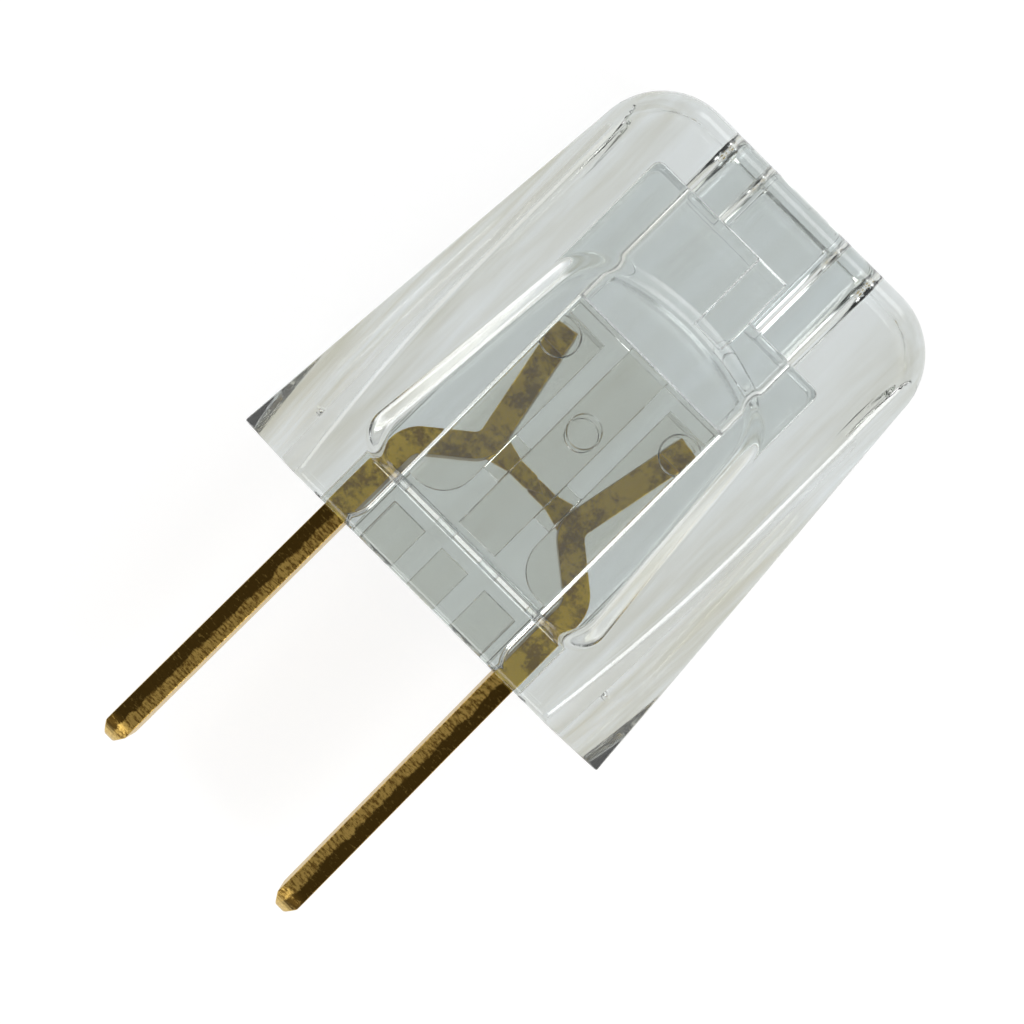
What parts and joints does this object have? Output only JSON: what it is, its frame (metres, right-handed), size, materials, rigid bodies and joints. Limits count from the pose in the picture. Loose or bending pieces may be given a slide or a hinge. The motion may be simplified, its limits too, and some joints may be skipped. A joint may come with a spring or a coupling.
{
  "type": "two-blade lamp-cord plug",
  "caption": "Clear quick-connect plug: a tapered housing with a slide-out core and flat brass blades that run back into bent levers.",
  "frame": {"origin": "middle of the front face, midway between the two blades and midway between the broad faces", "axes": "+X across the plug from blade to blade, +Y from the blades towards the cord end, +Z out of the upper broad face"},
  "size_m": [0.0268, 0.0465, 0.0128],
  "materials": {
    "clear_cover": "clear, polished",
    "clear_core": "clear, moulded",
    "brass": "sheared and bent strip, slightly dull"
  },
  "bodies": {
    "housing": {"cover": "clear_cover"},
    "slide_out": {"core": "clear_core", "contact_left": "brass", "contact_right": "brass"}
  },
  "joints": [
    {"name": "core_slide", "type": "slide", "parent": "housing", "child": "slide_out", "axis": [0, -1, 0], "range_m": [0, 0.026]}
  ]
}
